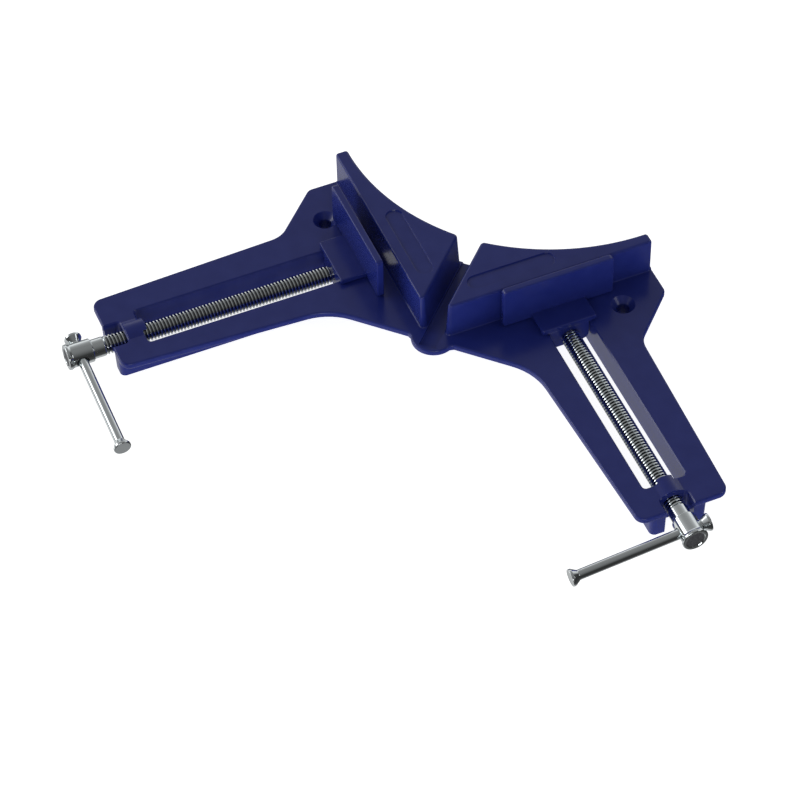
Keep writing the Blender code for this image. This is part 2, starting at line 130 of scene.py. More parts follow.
# side is 1 for the right arm and -1 for the left one
def armMatrix(u, height, side=1):
    spot = armSpot(u, casting["screwLine"])
    turn = radians(-45) if side > 0 else radians(-135)
    return Matrix.Translation((side * spot.x, spot.y, height)) @ Matrix.Rotation(turn, 4, "Z")


def arc(centre, radius, start, end):
    count = max(3, ceil(abs(end - start) / turnStep) + 1)
    angles = [start + (end - start) * i / (count - 1) for i in range(count)]
    return [Vector(centre) + radius * Vector((cos(a), sin(a))) for a in angles]


# An outline with round corners, given as (point, radius)
def roundedPath(corners, closed=True):
    path = []
    total = len(corners)
    for i, (spot, radius) in enumerate(corners):
        spot = Vector(spot)
        if radius == 0 or (not closed and i in (0, total - 1)):
            path.append(spot)
            continue
        before = (Vector(corners[i - 1][0]) - spot).normalized()
        after = (Vector(corners[(i + 1) % total][0]) - spot).normalized()
        half = acos(max(-1, min(1, before.dot(after)))) / 2
        centre = spot + (before + after).normalized() * radius / sin(half)
        first = spot + before * radius / tan(half) - centre
        last = spot + after * radius / tan(half) - centre
        start = atan2(first.y, first.x)
        sweep = (atan2(last.y, last.x) - start + pi) % (2 * pi) - pi
        path += arc(centre, radius, start, start + sweep)
    return path


def everyWay(normal):
    return 1


# A closed solid of stacked rings: height, growth of the outline, and more growth where share says
def loft(name, path, rings, share=everyWay):
    path = [spot for i, spot in enumerate(path) if (spot - path[i - 1]).length > shortest]
    area = sum(path[i - 1].x * spot.y - spot.x * path[i - 1].y for i, spot in enumerate(path))
    if area < 0:
        path.reverse()
    normals = []
    for i, spot in enumerate(path):
        before = (spot - path[i - 1]).normalized()
        after = (path[(i + 1) % len(path)] - spot).normalized()
        first = Vector((before.y, -before.x))
        last = Vector((after.y, -after.x))
        normals.append((first + last) / max(cornerLimit, 1 + first.dot(last)))
    shape = bmesh.new()
    loops = []
    for height, grow, lean in rings:
        loops.append([])
        for spot, normal in zip(path, normals):
            place = spot + normal * (grow + lean * share(normal.normalized()))
            loops[-1].append(shape.verts.new((place.x, place.y, height)))
    for low, high in zip(loops, loops[1:]):
        for i in range(len(path)):
            shape.faces.new((low[i - 1], low[i], high[i], high[i - 1]))
    shape.faces.new(reversed(loops[0]))
    shape.faces.new(loops[-1])
    mesh = bpy.data.meshes.new(name)
    shape.to_mesh(mesh)
    shape.free()
    return addObject(name, mesh)


def quarterTurns(steps=4):
    return [pi / 2 * i / steps for i in range(steps + 1)]


# An outline from one height to another, with rounded rims
def slab(name, path, low, high, rounding, steps=3):
    turns = quarterTurns(steps)
    rings = [(low + rounding * (1 - cos(a)), -rounding * (1 - sin(a)), 0) for a in turns]
    rings += [(high - rounding * (1 - cos(a)), -rounding * (1 - sin(a)), 0) for a in reversed(turns)]
    return loft(name, path, rings)


# low and high are opposite corners
def box(low, high, rounding, steps=3):
    spots = [(low[0], low[1]), (high[0], low[1]), (high[0], high[1]), (low[0], high[1])]
    path = roundedPath([(spot, rounding * uprightShare) for spot in spots])
    return slab("box", path, low[2], high[2], rounding, steps)


# A turned solid along X: the profile is (distance, radius) from one end to the other
def turned(name, profile, matrix=Matrix(), steps=pieceSteps):
    shape = bmesh.new()
    loops = []
    spokes = [(cos(2 * pi * i / steps), sin(2 * pi * i / steps)) for i in range(steps)]
    for distance, radius in profile:
        if radius == 0:
            loops.append([shape.verts.new((distance, 0, 0))] * steps)
        else:
            loops.append([shape.verts.new((distance, radius * wide, radius * high))
                          for wide, high in spokes])
    for low, high in zip(loops, loops[1:]):
        for i in range(steps):
            corners = []
            for vert in (low[i - 1], high[i - 1], high[i], low[i]):
                if vert not in corners:
                    corners.append(vert)
            if len(corners) > 2:
                shape.faces.new(corners)
    bmesh.ops.recalc_face_normals(shape, faces=shape.faces)
    mesh = bpy.data.meshes.new(name)
    shape.to_mesh(mesh)
    shape.free()
    mesh.transform(matrix)
    return addObject(name, mesh)


def roundedProfile(corners):
    return [tuple(spot) for spot in roundedPath(corners, closed=False)]


def rod(name, radius, start, end, matrix):
    return turned(name, [(start, 0), (start, radius), (end, radius), (end, 0)], matrix)


def combine(thing, others, operation):
    for other in others:
        modifier = thing.modifiers.new(operation.lower(), "BOOLEAN")
        modifier.operation = operation
        modifier.solver = "EXACT"
        modifier.object = other


# Evaluates the booleans and drops the solids that they used
def carve(thing, joined=(), cut=(), mirrored=False):
    combine(thing, joined, "UNION")
    combine(thing, cut, "DIFFERENCE")
    if mirrored:
        mirror = thing.modifiers.new("mirror", "MIRROR")
        mirror.use_bisect_axis = (True, False, False)
        mirror.merge_threshold = mirrorWeld
    thing = plainMesh(thing)
    for other in [*joined, *cut]:
        bpy.data.objects.remove(other)
    return thing


def smoothFaces(thing, angle=34):
    shape = bmesh.new()
    shape.from_mesh(thing.data)
    bmesh.ops.remove_doubles(shape, verts=shape.verts, dist=weld)
    bmesh.ops.recalc_face_normals(shape, faces=shape.faces)
    shape.to_mesh(thing.data)
    shape.free()
    thing.data.shade_smooth()
    thing.data.set_sharp_from_angle(angle=radians(angle))
    weighted = thing.modifiers.new("flat_faces_stay_flat", "WEIGHTED_NORMAL")
    weighted.keep_sharp = True
    weighted.weight = flatWeight
    return plainMesh(thing)


def markAlong(thing):
    spots = [vert.co.x for vert in thing.data.vertices]
    thing.data.attributes.new("along", "FLOAT", "POINT").data.foreach_set("value", spots)


def joinMeshes(things, name):
    shape = bmesh.new()
    for thing in things:
        shape.from_mesh(thing.data)
    mesh = bpy.data.meshes.new(name)
    shape.to_mesh(mesh)
    shape.free()
    for material in things[0].data.materials:
        mesh.materials.append(material)
    for thing in things:
        bpy.data.objects.remove(thing)
    return addObject(name, mesh)


# Moves a finished piece to its place, paints it and hands it to the frame
def fitPiece(thing, name, materials, matrix, body, node):
    thing.name = name
    thing.data.name = name
    thing.data.transform(cornerPlace @ matrix)
    slots = [face.material_index for face in thing.data.polygons]
    thing.data.materials.clear()
    for material in materials:
        thing.data.materials.append(material)
    thing.data.polygons.foreach_set("material_index", slots)
    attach(thing, body)
    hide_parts(node)
    print("piece", name, len(thing.data.polygons), "faces")


enamel = {
    "topColour": "283486",      # dark navy
    "deepColour": "202B7A",
    "thinPaintAndHighlightColour": "343E91",     # paint runs thin over the edges, and painted highlight: edges lightened where the light would catch them
    "edgeShare": 0.55,
    "edgeRadius": 0.0006,
    "edgeRange": (0.97, 0.80),  # how far the rounded normal leans where an edge starts and is full
    "ior": 1.5,
    "roughness": (0.16, 0.30),
    "orangePeel": 0.0016,       # size of the ripples in the sprayed paint
    "ripples": {"Strength": 0.035, "Distance": 0.0002},
    "castLumps": 0.0090,        # size of the waves that the sand mould leaves
    "waves": {"Strength": 0.05, "Distance": 0.0006},
}


# Gloss stoving enamel on grey cast iron: wet, slightly rippled, paler over an edge, partly where the paint
# thins and partly as a painted highlight
def glossEnamel(name):
    material, tree, shader, coords = newMaterial(name)
    lumps = addNoise(tree, coords, enamel["castLumps"], detail=1.0)
    peel = addNoise(tree, coords, enamel["orangePeel"], detail=1.0)
    rounded = addNode(tree, "ShaderNodeBevel", {"Radius": enamel["edgeRadius"]}, {"samples": 6}).outputs[0]
    faceNormal = addNode(tree, "ShaderNodeNewGeometry").outputs["Normal"]
    lean = addNode(tree, "ShaderNodeVectorMath", {0: rounded, 1: faceNormal}, {"operation": "DOT_PRODUCT"})
    edge = mapRange(tree, lean.outputs["Value"], enamel["edgeRange"])
    # painted highlight and thin paint: the base colour lightens along rounded edges
    wornAndHighlit = addMaths(tree, "MULTIPLY", edge, enamel["edgeShare"])
    body = mixColours(tree, lumps, linear(enamel["deepColour"]), linear(enamel["topColour"]))
    waves = addNode(tree, "ShaderNodeBump", {"Height": lumps, **enamel["waves"]}).outputs[0]
    ripples = addNode(tree, "ShaderNodeBump", {"Height": peel, "Normal": waves, **enamel["ripples"]})
    tree.links.new(mixColours(tree, wornAndHighlit, body, linear(enamel["thinPaintAndHighlightColour"])), shader.inputs["Base Color"])
    tree.links.new(mapRange(tree, lumps, wanted=enamel["roughness"]), shader.inputs["Roughness"])
    tree.links.new(ripples.outputs[0], shader.inputs["Normal"])
    shader.inputs["IOR"].default_value = enamel["ior"]
    return material


plating = {
    "colour": "E4EAEC",
    "grooveColour": "3A3B41",   # grease and shadow in the thread
    "greaseAndShade": 0.8,
    "roughness": (0.09, 0.21),
    "turningMarks": 0.00035,    # spacing of the lathe's marks, drawn coarser than real
    "marks": {"Strength": 0.12, "Distance": 0.00003},
    "smudges": 0.0120,
    "smudgeRange": (0.4, 0.75),
}


# Bright zinc plate on turned steel: near mirror, with fine lathe rings and a few dull smudges
def brightPlate(name):
    material, tree, shader, coords = newMaterial(name)
    spot = addNode(tree, "ShaderNodeAttribute", None, {"attribute_name": "along"}).outputs["Fac"]
    groove = addNode(tree, "ShaderNodeAttribute", None, {"attribute_name": "groove"}).outputs["Fac"]
    spacing = addMaths(tree, "MULTIPLY", spot, 1 / plating["turningMarks"])
    rings = addNode(tree, "ShaderNodeTexNoise", {"W": spacing, "Scale": 1.0, "Detail": 2.0},
                    {"noise_dimensions": "1D"})
    smudge = addNoise(tree, coords, plating["smudges"], detail=4.0)
    dull = mapRange(tree, smudge, plating["smudgeRange"], plating["roughness"])
    # painted shade and grease: the thread darkens towards the roots of its grooves
    grooveGreaseAndShade = addMaths(tree, "MULTIPLY", groove, plating["greaseAndShade"])
    colour = mixColours(tree, grooveGreaseAndShade, linear(plating["colour"]), linear(plating["grooveColour"]))
    lathe = addNode(tree, "ShaderNodeBump", {"Height": rings.outputs["Fac"], **plating["marks"]})
    tree.links.new(colour, shader.inputs["Base Color"])
    tree.links.new(dull, shader.inputs["Roughness"])
    tree.links.new(lathe.outputs[0], shader.inputs["Normal"])
    shader.inputs["Metallic"].default_value = 1.0
    return material


sawnEnd = {
    "darkColour": "2C2D31", "paleColour": "6E6F74", "grain": 0.0009,
    "bumps": {"Strength": 0.5, "Distance": 0.0001}, "metallic": 0.6, "roughness": 0.5,
}


# Sawn and blackened bar end: dark grey, matt, with fine grain
def blackenedEnd(name):
    material, tree, shader, coords = newMaterial(name)
    grain = addNoise(tree, coords, sawnEnd["grain"], detail=5.0)
    colour = mixColours(tree, grain, linear(sawnEnd["darkColour"]), linear(sawnEnd["paleColour"]))
    bumps = addNode(tree, "ShaderNodeBump", {"Height": grain, **sawnEnd["bumps"]})
    tree.links.new(colour, shader.inputs["Base Color"])
    tree.links.new(bumps.outputs[0], shader.inputs["Normal"])
    shader.inputs["Metallic"].default_value = sawnEnd["metallic"]
    shader.inputs["Roughness"].default_value = sawnEnd["roughness"]
    return material


wire = {
    "darkColour": "7C7D80", "paleColour": "B4B5B7", "roughness": (0.28, 0.45),
    "streaks": (2500, 2500, 120),   # to the metre, across and along the wire
}


# Drawn steel wire, cut to length: dull grey with lengthwise streaks
def drawnSteel(name):
    material, tree, shader, coords = newMaterial(name)
    stretched = addNode(tree, "ShaderNodeMapping", {"Vector": coords, "Scale": wire["streaks"]}).outputs[0]
    streaks = addNoise(tree, stretched, size=1.0, detail=3.0)
    colour = mixColours(tree, streaks, linear(wire["darkColour"]), linear(wire["paleColour"]))
    tree.links.new(colour, shader.inputs["Base Color"])
    tree.links.new(mapRange(tree, streaks, wanted=wire["roughness"]), shader.inputs["Roughness"])
    shader.inputs["Metallic"].default_value = 1.0
    return material


blueEnamel = glossEnamel("gloss_stoving_enamel")
screwPlate = brightPlate("bright_zinc_plate")
barPlate = brightPlate("bright_zinc_plate_bar")
headEnd = blackenedEnd("blackened_sawn_end")
pinSteel = drawnSteel("drawn_steel_wire")
print("materials made")


casting = {
    "top": 0.0165, "thickness": 0.0038, "rim": 0.0010,
    "frontEdge": 0.0022, "sideEdge": 0.1005, "sideFillet": 0.0140, "frontFillet": 0.0320,
    "earRadius": 0.0050, "backEndCorner": 0.0012, "backEndGap": 0.0030,
    "tabRadius": 0.0118, "tabCentre": 0.0058, "tabFillet": 0.0015, "tabLead": radians(6),
    "screwLine": 0.0698, "screwHeight": 0.0106,
    "armEnd": 0.1495, "armCorner": 0.0055,
    "armInnerRoot": 0.0396, "armInnerEnd": 0.0473, "armOuterRoot": 0.1018, "armOuterEnd": 0.0964,
    "slotStart": 0.0032, "slotEnd": 0.1315, "slotWidth": 0.0232, "slotCorner": 0.0020, "slotEdge": 0.0006,
    "railThickness": 0.0040, "railDraft": 0.0006, "railInset": 0.0004, "railCorner": 0.0036,
    "railRootCorner": 0.0014, "railChamfer": 0.0003,
    "bridgeLength": 0.0092, "bridgeRise": 0.0024, "bridgeFoot": 0.0030, "bridgeSlope": radians(30),
    "bridgeSide": 0.0130, "bridgeRim": 0.0004, "notchWidth": 0.0154, "boreRadius": 0.0052,
    "holeU": 0.0162, "holeV": 0.1018, "holeRadius": 0.0033, "sinkRadius": 0.0064,
    "bossRadius": 0.0088, "bossRim": 0.0004, "ribThickness": 0.0060, "ribFront": 0.0085, "ribRim": 0.0003,
}
fixedJaw = {
    "height": 0.0215, "end": 0.1256, "endThickness": 0.0069, "sawGap": 0.0130,
    "backY": 0.0571, "backSag": 0.0079, "backSlope": 0.1, "draft": 0.0014,
    "corner": 0.0016, "backCorner": 0.0024, "rim": 0.0014, "ledge": 0.0006, "foot": 0.0007,
    "pocketWall": 0.0045, "pocketEnd": 0.0800,
    "plaqueOffset": 0.0106, "plaqueStart": 0.0260, "plaqueEnd": 0.0750, "plaqueWidth": 0.0096,
    # the plaque's cutter: height over the jaw's top and growth, both in depths of the plaque
    "plaqueDepth": 0.0009, "plaqueLip": ((-1, -0.8), (-0.85, -0.45), (-0.15, -0.1), (1, 0.5)),
    "kerfWidth": 0.0092, "kerfDepth": 0.0015, "kerfFront": -0.0034, "kerfRim": 0.0004, "kerfRunout": 0.02,
}
jawTop = casting["top"] + fixedJaw["height"]
plateBottom = casting["top"] - casting["thickness"]


def jawBackArc():
    gapEnd = Vector((fixedJaw["sawGap"] / 2, fixedJaw["backY"]))
    farEnd = armSpot(-fixedJaw["endThickness"], fixedJaw["end"])
    chord = farEnd - gapEnd
    radius = ((chord.length / 2) ** 2 + fixedJaw["backSag"] ** 2) / (2 * fixedJaw["backSag"])
    backwards = Vector((-chord.y, chord.x)).normalized()
    centre = (gapEnd + farEnd) / 2 + backwards * (radius - fixedJaw["backSag"])
    start = atan2(gapEnd.y - centre.y, gapEnd.x - centre.x)
    end = atan2(farEnd.y - centre.y, farEnd.x - centre.x)
    return centre, radius, start, end


def backLine(centre, radius, start, end, count=36):
    angles = [start + (end - start) * i / count for i in range(count + 1)]
    return [centre + radius * Vector((cos(a), sin(a))) for a in angles]


def plateOutline():
    centre, radius, start, end = jawBackArc()
    grow = fixedJaw["draft"] + fixedJaw["ledge"]
    farV = fixedJaw["end"] + fixedJaw["ledge"]
    diagonal = along.x
    path = [spot for spot in backLine(centre, radius - grow, start, end)
            if spot.dot(along) < farV - casting["backEndGap"]]
    corner = armSpot(-fixedJaw["endThickness"] - fixedJaw["draft"], farV)
    outerLean = (casting["armOuterEnd"] - casting["armOuterRoot"]) / casting["armEnd"]
    innerLean = (casting["armInnerEnd"] - casting["armInnerRoot"]) / casting["armEnd"]
    waistU = (casting["sideEdge"] / diagonal - casting["armOuterRoot"]) / (1 + outerLean)
    crotchU = (casting["armInnerRoot"] - casting["frontEdge"] / diagonal) / (1 - innerLean)
    tabSide = sqrt(casting["tabRadius"] ** 2 - (casting["tabCentre"] - casting["frontEdge"]) ** 2)
    corners = [(spot, 0) for spot in path]
    corners += [
        (corner, casting["backEndCorner"]),
        ((casting["sideEdge"], farV / diagonal - casting["sideEdge"]), casting["earRadius"]),
        (armSpot(waistU, casting["armOuterRoot"] + outerLean * waistU), casting["sideFillet"]),
        (armSpot(casting["armEnd"], casting["armOuterEnd"]), casting["armCorner"]),
        (armSpot(casting["armEnd"], casting["armInnerEnd"]), casting["armCorner"]),
        (armSpot(crotchU, casting["armInnerRoot"] + innerLean * crotchU), casting["frontFillet"]),
        ((tabSide + casting["tabFillet"], casting["frontEdge"]), 0),
    ]
    outline = roundedPath(corners, closed=False)
    sideAngle = atan2(casting["frontEdge"] - casting["tabCentre"], tabSide)
    outline += arc((0, casting["tabCentre"]), casting["tabRadius"], sideAngle - casting["tabLead"], -pi / 2)
    outline.append(Vector((-casting["tabRadius"] / 2, casting["tabCentre"] - casting["tabRadius"])))
    outline.append(Vector((-casting["tabRadius"] / 2, path[0].y)))
    return outline


def jawOutline(inset=0.0, farV=None):
    farV = farV or fixedJaw["end"]
    centre, radius, start, end = jawBackArc()
    sideX = fixedJaw["sawGap"] / 2 + inset
    corner = fixedJaw["backCorner"]
    back = [spot for spot in backLine(centre, radius + inset, start, end)
            if spot.x > sideX + corner and spot.dot(along) < farV - corner]
    first = Vector((sideX, back[0].y - (back[0].x - sideX) * fixedJaw["backSlope"]))
    lastU = centre.dot(outwards) + sqrt((radius + inset) ** 2 - (farV - centre.dot(along)) ** 2)
    corners = [(spot, fixedJaw["corner"])
               for spot in ((sideX, sideX + inset / along.x), armSpot(-inset, farV), armSpot(lastU, farV))]
    corners += [(spot, 0) for spot in reversed(back)]
    corners.append((first, corner))
    return roundedPath(corners)


# The clamping face and the far end stand upright, the other walls have draft
def draftShare(normal):
    return max(0, 1 - max(0, normal.dot(outwards)) ** 2 - max(0, normal.dot(along)) ** 2)


def jawLean(height):
    return fixedJaw["draft"] * (jawTop - height) / fixedJaw["height"]


def makeFixedJaw():
    foot, rim, top = fixedJaw["foot"], fixedJaw["rim"], casting["top"]
    sunk = seat / 20  # the blend's lowest ring lies just under the base's face
    turns = quarterTurns()
    rings = [(top - casting["thickness"] / 2, foot)]
    rings += [(top + foot * (1 - cos(a)) - sunk, foot * (1 - sin(a))) for a in turns]
    rings += [(jawTop - rim * (1 - cos(a)), -rim * (1 - sin(a))) for a in reversed(turns)]
    return loft("fixed_jaw", jawOutline(), [(z, grow, jawLean(z)) for z, grow in rings], draftShare)


def makePocket():
    heights = (-clear, jawTop - fixedJaw["pocketWall"])
    return loft("pocket", jawOutline(fixedJaw["pocketWall"], fixedJaw["pocketEnd"]),
                [(z, 0, jawLean(z)) for z in heights], draftShare)


# A bare recessed panel with round ends and a soft lip
def makePlaque():
    half = fixedJaw["plaqueWidth"] / 2
    low = armSpot(-fixedJaw["plaqueOffset"], fixedJaw["plaqueStart"] + half)
    high = armSpot(-fixedJaw["plaqueOffset"], fixedJaw["plaqueEnd"] - half)
    path = arc(low, half, -pi / 4 - pi, -pi / 4) + arc(high, half, -pi / 4, -pi / 4 + pi)
    depth = fixedJaw["plaqueDepth"]
    rings = [(jawTop + depth * rise, depth * grow, 0) for rise, grow in fixedJaw["plaqueLip"]]
    return loft("plaque", path, rings)


def slotOutline(start, end, width):
    half = width / 2
    corners = [(start, -half), (end, -half), (end, half), (start, half)]
    return roundedPath([(spot, casting["slotCorner"]) for spot in corners])


# The slot's cutter opens out above, so that it rounds the slot's upper edge
def makeSlot(start, end, width):
    edge = casting["slotEdge"]
    rings = [(-clear, 0, 0)]
    rings += [(casting["top"] - edge * cos(a), edge * (1 - cos(a)), 0) for a in quarterTurns()]
    rings.append((casting["top"] + casting["bridgeRise"] / 2, edge, 0))
    cutter = loft("slot", slotOutline(start, end, width), rings)
    cutter.data.transform(armMatrix(0, 0))
    return cutter


def makeBridge():
    crown = casting["top"] + casting["bridgeRise"] - casting["screwHeight"]
    peak = casting["screwHeight"] + crown / cos(casting["bridgeSlope"])
    footHeight = casting["top"] - seat
    foot = (peak - footHeight) / tan(casting["bridgeSlope"])
    half = casting["bridgeSide"]
    low = casting["railInset"]
    blend = casting["bridgeFoot"]
    corners = [((-half, low), 0), ((half, low), 0), ((half, footHeight), 0), ((foot, footHeight), blend),
               ((0, peak), crown), ((-foot, footHeight), blend), ((-half, footHeight), 0)]
    start = casting["slotEnd"] - casting["slotCorner"]
    end = casting["slotEnd"] + casting["bridgeLength"] - seat
    bridge = slab("bridge", roundedPath(corners), start, end, casting["bridgeRim"])
    bridge.data.transform(armMatrix(0, 0) @ upright)
    return bridge


def makeRails():
    half = casting["slotWidth"] / 2 + casting["railThickness"]
    start = casting["slotStart"] - casting["railThickness"]
    end = casting["armEnd"] - casting["railInset"]
    root, corner = casting["railRootCorner"], casting["railCorner"]
    path = roundedPath([((start, -half), root), ((end, -half), corner),
                        ((end, half), corner), ((start, half), root)])
    high = casting["top"] - casting["rim"]
    chamfer = casting["railChamfer"]
    rings = [(0, -chamfer, -1), (chamfer, 0, -1), (high, 0, 0)]
    rings = [(z, grow, lean * casting["railDraft"] * (high - z) / high) for z, grow, lean in rings]
    rails = loft("rails", path, rings)
    rails.data.transform(armMatrix(0, 0))
    return rails


def makeBody():
    hole = armSpot(casting["holeU"], casting["holeV"])
    standing = Matrix.Translation((hole.x, hole.y, 0)) @ Matrix.Rotation(-pi / 2, 4, "Y")
    axis = armMatrix(0, casting["screwHeight"])
    bridgeEnd = casting["slotEnd"] + casting["bridgeLength"]
    sink = casting["sinkRadius"] - casting["holeRadius"]
    top = casting["top"]
    half = casting["ribThickness"] / 2
    ribTop = top - fixedJaw["kerfDepth"] - casting["rim"]
    rib = box((-half, casting["ribFront"], 0), (half, fixedJaw["backY"] - seat, ribTop), casting["ribRim"])
    for vert in rib.data.vertices:
        vert.co.x *= 1 - casting["railDraft"] / half * (top - vert.co.z) / top
    boss = turned("boss", roundedProfile([
        ((0, 0), 0), ((0, casting["bossRadius"] - casting["railDraft"]), casting["bossRim"]),
        ((top - casting["rim"], casting["bossRadius"]), 0), ((top - casting["rim"], 0), 0)]), standing)
    plate = slab("clamp_casting", plateOutline(), plateBottom, top, casting["rim"], 5)
    kerf = fixedJaw["kerfWidth"] / 2
    cutters = [
        makePocket(), makePlaque(),
        makeSlot(casting["slotStart"], casting["slotEnd"], casting["slotWidth"]),
        makeSlot(bridgeEnd, casting["armEnd"] + casting["notchWidth"], casting["notchWidth"]),
        box((-kerf, fixedJaw["kerfFront"], top - fixedJaw["kerfDepth"]),
            (kerf, fixedJaw["backY"] + fixedJaw["kerfRunout"], jawTop), fixedJaw["kerfRim"]),
        rod("bridge_bore", casting["boreRadius"], casting["slotEnd"] - casting["bridgeLength"],
            casting["armEnd"], axis),
        turned("drill", [(-clear, 0), (-clear, casting["holeRadius"]), (top - sink, casting["holeRadius"]),
                         (top + clear, casting["sinkRadius"] + clear), (top + clear, 0)], standing),
    ]
    body = carve(plate, [makeFixedJaw(), makeRails(), rib, makeBridge(), boss], cutters, mirrored=True)
    body = smoothFaces(body, angle=30)
    fitPiece(body, "clamp_casting", [blueEnamel], Matrix(), "clamp", "clamp_body")


makeBody()


movingJaw = {
    "width": 0.0620, "height": 0.0254, "thickness": 0.0038,
    "corner": 0.0022, "footCorner": 0.0012, "rim": 0.0008,
    "shoeWidth": 0.0304, "shoeEnd": 0.0178, "shoeThickness": 0.0033, "shoeRim": 0.0007, "shoeLap": 0.0010,
    "tongueWidth": 0.0224, "tongueFront": 0.0038, "tongueBottom": 0.0045, "tongueCorner": 0.0036,
    "tongueTopCorner": 0.0007, "tongueRim": 0.0005, "tongueInset": 0.0004,
    "bore": 0.0037, "boreStart": 0.0052, "pinRadius": 0.0012, "pinLength": 0.0120, "pinPlace": (0.0100, 0.0038),
    "pinGap": 0.00005, "pinEdge": 0.0002, "pinSteps": 32,
    "rightOpening": 0.0025, "leftOpening": 0.0085,
}
slideHeight = casting["top"] + seat


def makeMovingJaw(side, word):
    half = movingJaw["width"] / 2
    top = slideHeight + movingJaw["height"]
    foot = slideHeight + seat / 3  # the plate hangs a little clear of the base
    corners = [((-half, foot), movingJaw["footCorner"]), ((half, foot), movingJaw["footCorner"]),
               ((half, top), movingJaw["corner"]), ((-half, top), movingJaw["corner"])]
    plate = slab("plate", roundedPath(corners), 0, movingJaw["thickness"], movingJaw["rim"], 5)
    plate.data.transform(upright)
    half = movingJaw["shoeWidth"] / 2
    shoeTop = slideHeight + movingJaw["shoeThickness"]
    shoe = box((movingJaw["thickness"] - movingJaw["shoeLap"], -half, slideHeight),
               (movingJaw["shoeEnd"], half, shoeTop), movingJaw["shoeRim"], steps=4)
    half = movingJaw["tongueWidth"] / 2
    low = movingJaw["tongueBottom"]
    high = slideHeight + movingJaw["shoeThickness"] / 2
    corners = [((-half, low), movingJaw["tongueCorner"]), ((half, low), movingJaw["tongueCorner"]),
               ((half, high), movingJaw["tongueTopCorner"]), ((-half, high), movingJaw["tongueTopCorner"])]
    tongue = slab("tongue", roundedPath(corners), movingJaw["tongueFront"],
                  movingJaw["shoeEnd"] - movingJaw["tongueInset"], movingJaw["tongueRim"], 4)
    tongue.data.transform(upright)
    axis = Matrix.Translation((0, 0, casting["screwHeight"]))
    pinU, pinV = movingJaw["pinPlace"]
    pin = Matrix.Translation((pinU, pinV, low)) @ Matrix.Rotation(-pi / 2, 4, "Y")
    bore = rod("bore", movingJaw["bore"], movingJaw["boreStart"], movingJaw["shoeEnd"] + seat, axis)
    radius, length, edge = movingJaw["pinRadius"], movingJaw["pinLength"], movingJaw["pinEdge"]
    pinHole = rod("pin_hole", radius + movingJaw["pinGap"], -seat, length + seat, pin)
    jaw = smoothFaces(carve(plate, [shoe, tongue], [bore, pinHole]))
    place = armMatrix(movingJaw[word + "Opening"], 0, side)
    fitPiece(jaw, word + "_jaw_casting", [blueEnamel], place,
             word + "_jaw", word + "_moving_jaw")
    profile = roundedProfile([((0, 0), 0), ((0, radius), edge), ((length, radius), edge), ((length, 0), 0)])
    pinWire = smoothFaces(turned("pin", profile, pin, movingJaw["pinSteps"]))
    fitPiece(pinWire, word + "_pin_wire", [pinSteel], place,
             word + "_jaw", word + "_retaining_pin")


for side, word in ((1, "right"), (-1, "left")):
    makeMovingJaw(side, word)


leadScrew = {
    "Pitch": 0.0254 / 14, "Crest Radius": 0.0050, "Depth": 0.0011, "Length": 0.1264,
    "rowsPerTurn": 12, "columns": 41, "phaseShift": 0.0001, "crest": 1 / 3, "root": 2 / 3,
    "start": 0.0181, "tip": 0.0055, "tipEdge": 0.0005, "tipLap": 0.0010, "journal": 0.0035,
    "groove": 0.0024, "grooveWidth": 0.0030, "grooveCentre": 0.0100,
    "grooveEdge": 0.0001, "grooveFoot": 0.0003,
    "neck": 0.0052, "neckLap": 0.0012, "neckChamfer": (0.0008, 0.0006),
    "neckEdge": 0.0003, "neckFoot": 0.0004,
    "headStart": 0.1504, "headEnd": 0.1643, "head": 0.0063, "headEdge": 0.0005,
    "flange": 0.0069, "flangeThickness": 0.0014, "flare": 1.9, "flareBlend": 0.0016,
    "flangeEdge": 0.0003, "flangeRim": 0.0006,
    "recess": 0.0004, "recessRim": 0.0010, "recessFloor": 0.0014, "recessEdge": 0.0002,
    "darkDepth": 0.0005, "darkRim": 0.0013, "darkLean": 0.9,   # the blackened end lies within these
    "barHole": 0.1570, "holeSink": 0.0006,
}


